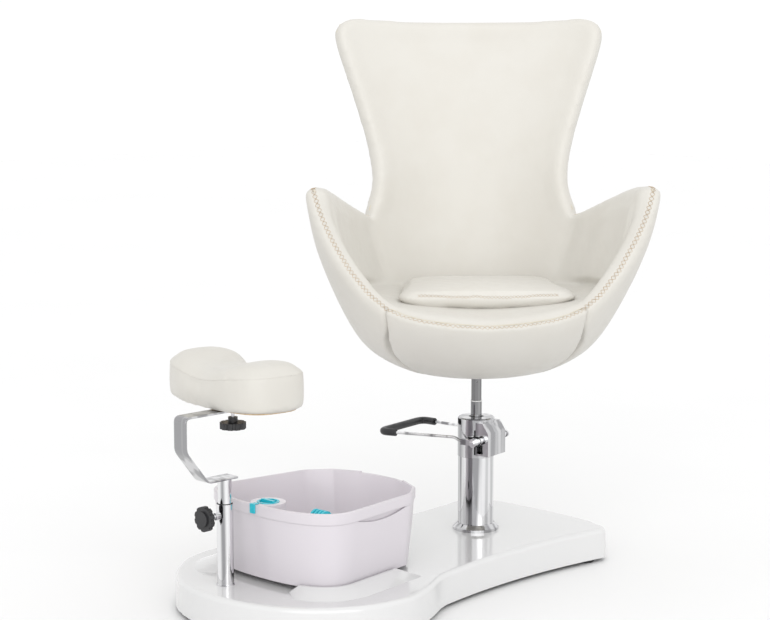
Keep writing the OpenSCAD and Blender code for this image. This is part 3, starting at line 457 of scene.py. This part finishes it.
def spread(points, step, closed=False):
    """Points at an even step along a smooth curve through these points."""
    parts = 8
    if closed:
        points = points + [points[0]]
    fine = []
    n = len(points)
    for i in range(n - 1):
        if closed:
            before, after = points[(i - 1) % (n - 1)], points[(i + 2) % (n - 1)]
        else:
            before, after = points[max(i - 1, 0)], points[min(i + 2, n - 1)]
        a, b = points[i], points[i + 1]
        for k in range(parts):
            t = k / parts
            fine.append(0.5 * ((2 * a) + (b - before) * t + (2 * before - 5 * a + 4 * b - after) * t * t
                               + (3 * a - before - 3 * b + after) * t ** 3))
    fine.append(points[-1])
    lengths = np.cumsum([0] + [(q - p).length for p, q in zip(fine, fine[1:])])
    count = max(2, round(lengths[-1] / step))
    result = []
    for s in np.linspace(0, lengths[-1], count + 1):
        i = min(int(np.searchsorted(lengths, s, "right")) - 1, len(fine) - 2)
        span = lengths[i + 1] - lengths[i]
        result.append(fine[i].lerp(fine[i + 1], (s - lengths[i]) / span if span > 0 else 0))
    return result


def inflate_by_cloth(mesh, pressure, cap, frames=20):
    """Blows a closed cushion up a little, with every point held within cap of where it began."""
    start, _ = read_points(mesh)
    obj = new_object("blown", mesh)
    cloth = obj.modifiers.new("cloth", "CLOTH")
    settings = cloth.settings
    settings.use_pressure = True
    settings.uniform_pressure_force = pressure
    settings.quality = 4
    settings.mass = 0.3
    settings.tension_stiffness = 12
    settings.compression_stiffness = 12
    settings.shear_stiffness = 5
    settings.bending_stiffness = 2
    settings.effector_weights.gravity = 0
    cloth.collision_settings.use_collision = False
    scene = bpy.context.scene
    scene.frame_start, scene.frame_end = 1, frames
    cloth.point_cache.frame_start, cloth.point_cache.frame_end = 1, frames
    for f in range(1, frames + 1):
        scene.frame_set(f)
    graph = bpy.context.evaluated_depsgraph_get()
    result = bpy.data.meshes.new_from_object(obj.evaluated_get(graph))
    bpy.data.objects.remove(obj)
    scene.frame_set(1)
    end, _ = read_points(result)
    moved = end - start
    length = np.linalg.norm(moved, axis=1, keepdims=True)
    write_points(result, start + moved * np.minimum(1, cap / np.maximum(length, 1e-9)))
    return result


def seat_coordinates(co):
    """These points in the seat's own axes."""
    m = np.array(TO_SEAT)
    return co @ m[:3, :3].T + m[:3, 3]


def bell(x, width):
    """1 where x is 0, fading to nothing at about twice the width."""
    return np.exp(-(x / width) ** 2)


def smooth_step(x, low, high):
    """0 up to low and 1 from high on, with a soft change between."""
    t = np.clip((x - low) / (high - low), 0, 1)
    return t * t * (3 - 2 * t)


def band(x, start, full, fade, end):
    """1 from full to fade and 0 outside start and end, with soft changes between."""
    return smooth_step(x, start, full) * (1 - smooth_step(x, fade, end))


def waves(points, scale, seed):
    """Slow unevenness between about -1 and 1; scale is the number of waves in a metre."""
    shift = Vector((seed * 7.3, seed * 3.1, seed * 5.7))
    return np.array([noise.noise(Vector(p) * scale + shift) for p in points])


# ---- egg shell ----

def wide_line(z):
    """How far in front of the seat's axis the bowl is at its widest, for a height."""
    heights = [0.016, 0.06, 0.13, 0.22, 0.32, 0.42, 0.5]
    forward = [0, 0.01, 0.04, 0.082, 0.128, 0.162, 0.178]
    return np.interp(z, heights, forward)


def shell_angle(s, both_sides=True):
    """Angle round the bowl in degrees, 0 at the back, the same for both sides or all the way round."""
    side = np.abs(s[:, 0]) if both_sides else s[:, 0]
    return np.degrees(np.arctan2(side, s[:, 1] + wide_line(s[:, 2]))) % 360


def smooth_near(mesh, weight, passes):
    """Rounds the mesh where weight is near 1 and leaves it alone where it is 0."""
    co, _ = read_points(mesh)
    edges = np.zeros(len(mesh.edges) * 2, np.int32)
    mesh.edges.foreach_get("vertices", edges)
    one, two = edges[::2], edges[1::2]
    count = np.bincount(one, minlength=len(co)) + np.bincount(two, minlength=len(co))
    for _ in range(passes):
        total = np.stack([np.bincount(one, co[two, k], len(co)) + np.bincount(two, co[one, k], len(co))
                          for k in range(3)], 1)
        co += 0.5 * weight[:, None] * (total / count[:, None] - co)
    write_points(mesh, co)


def distance_to(points, line, reach):
    """Distance of each point to a line of closely spaced points, up to reach."""
    tree = KDTree(len(line))
    for i, p in enumerate(line):
        tree.insert(p, i)
    tree.balance()
    low = np.array([min(p[k] for p in line) for k in range(3)]) - reach
    high = np.array([max(p[k] for p in line) for k in range(3)]) + reach
    near = np.all((points > low) & (points < high), 1)
    result = np.full(len(points), reach)
    for i in np.nonzero(near)[0]:
        result[i] = min(reach, tree.find(points[i])[2])
    return result


def rim_points():
    """Points all along the stiff core's upper edge, 6 mm apart."""
    bm = cage("shell_core")
    sharp, above_the_holes, step = math.radians(50), 60 * mm, 6 * mm
    points = []
    for e in bm.edges:
        if len(e.link_faces) == 2 and e.calc_face_angle(0) > sharp:
            a, b = e.verts[0].co, e.verts[1].co
            if (TO_SEAT @ a).z > above_the_holes:
                steps = max(1, round((b - a).length / step))
                points += [a.lerp(b, k / steps) for k in range(steps)]
    bm.free()
    return points


def refined(mesh, line, reach):
    """The mesh with its edges near the line cut in half twice."""
    for _ in range(2):
        co, _ = read_points(mesh)
        near = distance_to(co, line, reach + 1 * mm) < reach
        bm = bmesh.new()
        bm.from_mesh(mesh)
        edges = [e for e in bm.edges if near[e.verts[0].index] and near[e.verts[1].index]]
        bmesh.ops.subdivide_edges(bm, edges=edges, cuts=1, use_grid_fill=True)
        bm.to_mesh(mesh)
        bm.free()
    return mesh


def flatten_bottom(co):
    """Levels the underside of the shell softly, just above the bottom of the seat plate."""
    level, soft = 13.5 * mm, 3 * mm
    above = co[:, 2] - seat_origin.z - level
    co[:, 2] = seat_origin.z + level + soft * np.logaddexp(0, above / soft)
    return co


def edge_faces(s, no):
    """Near 1 where the skin faces along the bowl instead of out of it."""
    turn = np.array(TO_SEAT)[:3, :3]
    n = no @ turn.T
    along = np.stack([-(s[:, 1] + wide_line(s[:, 2])), s[:, 0]], 1)
    along /= np.maximum(np.linalg.norm(along, axis=1, keepdims=True), 1e-9)
    return smooth_step(np.abs((n[:, :2] * along).sum(1)), 0.4, 0.8)


def lowest_of_rim(edge, angle, reach):
    """Where the rim dips deepest near this angle, between the back and the wing."""
    s = seat_coordinates(np.array([tuple(p) for p in edge]))
    s[:, 0] = np.abs(s[:, 0])
    near = s[np.abs(shell_angle(s) - angle) < reach]
    return near[near[:, 2].argmin()]


def joined_layers():
    """Core, lining, cover and seat platform, the platform grown outwards to reach into the lining."""
    grown = 16 * mm
    base = cage("seat_base", crease=60)
    for v in base.verts:
        p = TO_SEAT @ v.co
        flat = Vector((p.x, p.y, 0))
        p += flat.normalized() * (grown * smooth_step(flat.length, 0.16, 0.26))
        v.co = FROM_SEAT @ p
    cages = [(cage(n), n) for n in ("shell_core", "shell_lining", "shell_cover")] + [(base, "base")]
    return merged(*(baked(to_mesh(bm, n), n, ("SUBSURF", {"levels": 2})) for bm, n in cages))


def make_upholstery(seam):
    """Lining, seat platform and outer cover as one stuffed skin round the stiff core.

    Angles are in degrees round the bowl, as shell_angle gives them, and heights are in the seat's axes.
    """
    stuffing, rim_swell, wing_swell, valley_depth = 1.5 * mm, 2.5 * mm, 24 * mm, 10 * mm
    unevenness, slit_depth, dip_depth = 0.7 * mm, 4 * mm, 8 * mm
    valley_angle, dip_angle, slit_angle = 40, 45, 128
    groove_depth, groove_width = 2.6 * mm, 2.2 * mm
    bead_height, bead_width, bead_place = 0.9 * mm, 3.5 * mm, 8 * mm
    mesh = smoothed(joined_layers(), 5.5 * mm, 4, subdivide=0)
    co, no = read_points(mesh)
    edge = rim_points()
    rim = 1 - smooth_step(distance_to(co, edge, 60 * mm), 16 * mm, 60 * mm)
    s = seat_coordinates(co)
    angle, height = shell_angle(s), s[:, 2]
    inward = np.clip(-(no * (co - np.array(seat_origin))).sum(1) * 4, 0, 1)
    low_down = 1 - smooth_step(height, 0.13, 0.17)
    valley = bell(angle - valley_angle, 4) * band(height, 0.2, 0.27, 0.37, 0.43)
    wing = band(angle, 42, 66, 108, 136) * smooth_step(height, 0.15, 0.24)
    slit = edge_faces(s, no) * bell(angle - slit_angle, 8) * low_down * (height > 0.03)
    dip = lowest_of_rim(edge, dip_angle, 15)
    from_dip = np.stack([np.abs(s[:, 0]) - dip[0], s[:, 1] - dip[1], height - dip[2]], 1)
    dipped = bell(np.linalg.norm(from_dip, axis=1), 0.05)
    push = stuffing + rim_swell * rim - valley_depth * valley * inward
    push += wing_swell * wing * inward * (1 - 0.6 * rim)
    push += unevenness * waves(co, 9, 1) - slit_depth * slit
    co = co + no * push[:, None]
    co[:, 2] -= dip_depth * dipped
    write_points(mesh, flatten_bottom(co))
    smooth_near(mesh, (0.35 + 0.65 * rim) * (1 - 0.5 * dipped), 18)
    mesh = refined(mesh, seam, 13 * mm)
    co, no = read_points(mesh)
    away = distance_to(co, seam, 14 * mm)
    push = bead_height * bell(away - bead_place, bead_width) - groove_depth * bell(away, groove_width)
    write_points(mesh, co + no * push[:, None])
    upholstery = new_object("seat_upholstery", mesh, finishes["leather_cream"])
    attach(upholstery, "seat")
    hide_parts("shell_lining", "seat_base", "shell_cover")
    return upholstery


def make_panel():
    """Panel under the front lip, with soft edges along the slits at its sides."""
    stuffing, unevenness, slit_depth = 1.4 * mm, 0.5 * mm, 6 * mm
    mesh = smoothed(to_mesh(cage("front_panel"), "panel"), 4.5 * mm, 7)
    co, no = read_points(mesh)
    s = seat_coordinates(co)
    low_edge = edge_faces(s, no) * (1 - smooth_step(s[:, 2], 0.13, 0.17))
    push = stuffing + unevenness * waves(co, 7, 3) - slit_depth * low_edge
    write_points(mesh, flatten_bottom(co + no * push[:, None]))
    panel = new_object("lower_panel", mesh, finishes["leather_cream"])
    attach(panel, "seat")
    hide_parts("front_panel")
    return panel


def rim_frames():
    """The seam between lining and cover, from one wing's tip along the lip to the other's.

    Each entry is (point on the stiff core's rim, direction across it to the outside, direction out of it).
    """
    core = nodes["shell_core"].data
    co, _ = read_points(core)
    s = seat_coordinates(co)
    angle = shell_angle(s, False)
    edges = np.array([tuple(e.vertices) for e in core.edges])
    a, b = angle[edges[:, 0]], angle[edges[:, 1]]
    points = []
    for phi in range(86, 275, 4):
        crossing = ((a - phi) * (b - phi) <= 0) & (np.abs(a - b) < 40) & (a != b)
        one, two = s[edges[crossing, 0]], s[edges[crossing, 1]]
        t = ((phi - a[crossing]) / (b[crossing] - a[crossing]))[:, None]
        cut = one + t * (two - one)
        top = cut[cut[:, 2] > cut[:, 2].max() - 2.5 * mm]
        points.append(Vector(top.mean(0)))
    line = spread(points, 3.75 * mm)
    turn = FROM_SEAT.to_3x3()
    frames = []
    for i, p in enumerate(line):
        along = (line[min(i + 2, len(line) - 1)] - line[max(i - 2, 0)]).normalized()
        radial = Vector((p.x, p.y + wide_line(p.z), 0))
        across = (radial - along * radial.dot(along)).normalized()
        out = across.cross(along).normalized()
        if out.dot(Vector((0, -0.5, 1))) < 0:
            out = -out
        frames.append((FROM_SEAT @ p, turn @ across, turn @ out))
    return frames


def hit(tree, point, out, reach=30 * mm):
    """Where the skin lies under this point, seen from outside."""
    return tree.ray_cast(point + out * reach, -out, 3 * reach)[0] or point


def cross_stitches(name, tree, frames, width, lift, radius, body):
    """A row of crosses along a seam. frames are (point, across, out) at the step of one cross."""
    bm = bmesh.new()
    for (p, across, out), (q, across2, out2) in zip(frames, frames[1:]):
        first, last = p.lerp(q, 0.03), p.lerp(q, 0.97)
        for s in (-1, 1):
            a = hit(tree, first + across * (s * width / 2), out)
            b = hit(tree, last - across2 * (s * width / 2), out2)
            middle = (a + b) / 2
            height = max(0.0, (hit(tree, middle, out) - middle).dot(out))
            middle += out * (height + lift)
            sink = out * (0.35 * radius)
            sweep(bm, [a - sink, a.lerp(middle, 0.3) + out * lift, middle,
                       b.lerp(middle, 0.3) + out2 * lift, b - sink], radius)
    obj = new_object(name, to_mesh(bm, name), finishes["thread"])
    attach(obj, body)


def make_shell():
    """Upholstery, front panel and the stitched seam, which moves onto the front of the lip."""
    front = FROM_SEAT.to_3x3() @ Vector((0, -1, 0))
    frames = []
    for p, across, out in rim_frames():
        facing = max(0.0, across.dot(front)) ** 2
        tilted = (out + across * 1.1 * facing).normalized()
        beside = (across - tilted * across.dot(tilted)).normalized()
        frames.append((p + across * (2 + 11 * facing) * mm, beside, tilted))
    raw = tree_of(nodes["shell_lining"], nodes["shell_core"], nodes["shell_cover"], nodes["front_panel"])
    seam = spread([hit(raw, p, out) for p, _, out in frames], 2 * mm)
    upholstery = make_upholstery(seam)
    tree = tree_of(upholstery, make_panel())
    cross_stitches("rim_stitches", tree, frames[::3], 12 * mm, 0.45 * mm, 0.48 * mm, "seat")


# ---- cushion and footrest pad ----

def blown_up(node, voxel, passes, shrink, pressure, cap):
    """A node's soft solid, rounded, made a little smaller and blown up again by cloth."""
    mesh = smoothed(to_mesh(cage(node), node), voxel, passes)
    co, no = read_points(mesh)
    write_points(mesh, co - no * shrink)
    return inflate_by_cloth(mesh, pressure, cap)


def finish_padded(mesh, name, node, body):
    mesh = baked(mesh, name, ("SMOOTH", {"factor": 0.5, "iterations": 2}),
                 ("SUBSURF", {"levels": 1, "render_levels": 1}))
    obj = new_object(name, mesh, finishes["leather_cream"])
    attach(obj, body)
    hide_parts(node)
    return obj


def cushion_seam(tree, low, high, pitch, end_gap):
    """Places for crosses just under the cushion's front edge, found on its surface one pitch apart."""
    turn = FROM_SEAT.to_3x3()
    side, back, down = turn @ Vector((1, 0, 0)), turn @ Vector((0, 1, 0)), Vector((0, 0, -1))
    middle = (low[0] + high[0]) / 2
    count = int(((high[0] - low[0]) / 2 - end_gap) / pitch)
    frames = []
    for k in range(-count, count + 1):
        ahead = FROM_SEAT @ Vector((middle + k * pitch, low[1] - 0.1, low[2] + 20 * mm))
        front = tree.ray_cast(ahead, back, 0.4)[0]
        edge = tree.ray_cast(front + back * 14 * mm - down * 0.2, down, 0.4)[0] if front else None
        found = tree.ray_cast(edge + down * 8 * mm - back * 0.1, back, 0.2) if edge else (None, None)
        if found[0]:
            out = (found[1] * 0.4 - back - down * 0.5).normalized()
            frames.append((found[0], side.cross(out).normalized(), out))
    return frames


def make_cushion():
    """Loose cushion: slightly uneven top, wider to the back, its front edge hanging a little."""
    fill, unevenness, wider, droop = 0.8, 0.8 * mm, 0.07, 5 * mm
    mesh = blown_up("seat_cushion", 6 * mm, 2, 1 * mm, 3.0, 7 * mm)
    co, no = read_points(mesh)
    s = seat_coordinates(co)
    low, high = s.min(0), s.max(0)
    top = s[:, 2] > (high[2] - 25 * mm)
    push = unevenness * waves(co, 14, 5) * top
    co = co + no * push[:, None]
    near_front = 1 - smooth_step(s[:, 1], low[1] + 30 * mm, low[1] + 90 * mm)
    under = 1 - smooth_step(s[:, 2], low[2] + 8 * mm, low[2] + 26 * mm)
    widen = wider * smooth_step(s[:, 1], low[1] + 0.1, high[1] - 0.05)
    side = np.array(FROM_SEAT)[:3, 0]
    co += ((s[:, 0] - (low[0] + high[0]) / 2) * widen)[:, None] * side
    co[:, 2] -= droop * under * near_front
    write_points(mesh, co)
    tree = tree_of(finish_padded(mesh, "loose_cushion", "seat_cushion", "cushion"))
    frames = cushion_seam(tree, low, high, 9 * mm, 40 * mm)
    cross_stitches("cushion_stitches", tree, frames, 8 * mm, 0.35 * mm, 0.36 * mm, "cushion")


def pad_seam(low, high, centre):
    """Points round the pad where its side and its top meet."""
    below_top, edge_round, places = 5 * mm, 9 * mm, 72
    shape = BVHTree.FromObject(nodes["footrest_pad"], bpy.context.evaluated_depsgraph_get())
    seam = []
    for k in range(places):
        a = 2 * math.pi * k / places
        d = Vector((math.cos(a), math.sin(a), 0))
        far = Vector((centre.x, centre.y, low.z + 40 * mm)) + d * 0.5
        side = shape.ray_cast(far, -d, 0.6)[0]
        inside = side - d * edge_round
        top = shape.ray_cast(Vector((inside.x, inside.y, high.z + 0.1)), Vector((0, 0, -1)), 0.5)[0]
        seam.append(Vector((side.x, side.y, top.z - below_top)))
    return seam


def nearest_on(co, line):
    """For each point its distance to the line's nearest entry, and that entry's number."""
    close = np.full(len(co), 1e9)
    which = np.zeros(len(co), int)
    for i, p in enumerate(line):
        d = np.linalg.norm(co - np.array(tuple(p)), axis=1)
        nearer = d < close
        close[nearer] = d[nearer]
        which[nearer] = i
    return close, which


def make_pad():
    """Kidney-shaped pad: crowned top, dished across the middle, welt seam where side and top meet."""
    fill, groove_depth, pucker_height, unevenness, crown_height = 0.9, 2.4 * mm, 0.8 * mm, 0.5 * mm, 6 * mm
    mesh = blown_up("footrest_pad", 5 * mm, 3, 2 * mm, 2.5, 5 * mm)
    low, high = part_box("footrest_pad")
    centre = (low + high) / 2
    seam = pad_seam(low, high, centre)
    co, no = read_points(mesh)
    line = spread(seam, 4 * mm, closed=True)
    close, which = nearest_on(co, line)
    pucker = np.array([noise.noise(Vector((i * 0.22, 0.3, 0.7))) for i in range(len(line))])
    push = pucker_height * pucker[which] * bell(close - 12 * mm, 10 * mm)
    push += unevenness * waves(co, 11, 8) - groove_depth * bell(close, 3.5 * mm)
    co = co + no * push[:, None]
    from_centre = np.hypot(co[:, 0] - centre.x, co[:, 1] - centre.y)
    crown = smooth_step(no[:, 2], 0.3, 0.8) * smooth_step(close, 8 * mm, 40 * mm)
    co[:, 2] += crown_height * crown * smooth_step(from_centre, 0.05, 0.11)
    write_points(mesh, co)
    make_welt(tree_of(finish_padded(mesh, "footrest_cushion", "footrest_pad", "pad")), seam, centre)


def make_welt(tree, seam, centre):
    """Piping that lies in the groove along the pad's seam."""
    radius, sunk = 1.1 * mm, 0.2 * mm
    welt = []
    for p in spread(seam, 6 * mm, closed=True)[:-1]:
        d = (Vector((p.x, p.y, 0)) - Vector((centre.x, centre.y, 0))).normalized()
        welt.append((tree.ray_cast(p + d * 0.06, -d, 0.2)[0] or p) - d * sunk)
    bm = bmesh.new()
    sweep(bm, welt + welt[:1], radius, 8)
    piping = new_object("pad_welt", to_mesh(bm, "pad_welt"), finishes["leather_cream"])
    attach(piping, "pad")


# ---- floor ----

def make_floor():
    half_side, just_below = 14, 0.2 * mm
    bm = bmesh.new()
    bmesh.ops.create_grid(bm, x_segments=1, y_segments=1, size=half_side)
    floor = new_object("floor", to_mesh(bm, "floor"), floor_material())
    floor.location.z = -just_below


make_camera()
make_light()
make_floor()
dress_cad()
make_shell()
make_cushion()
make_pad()
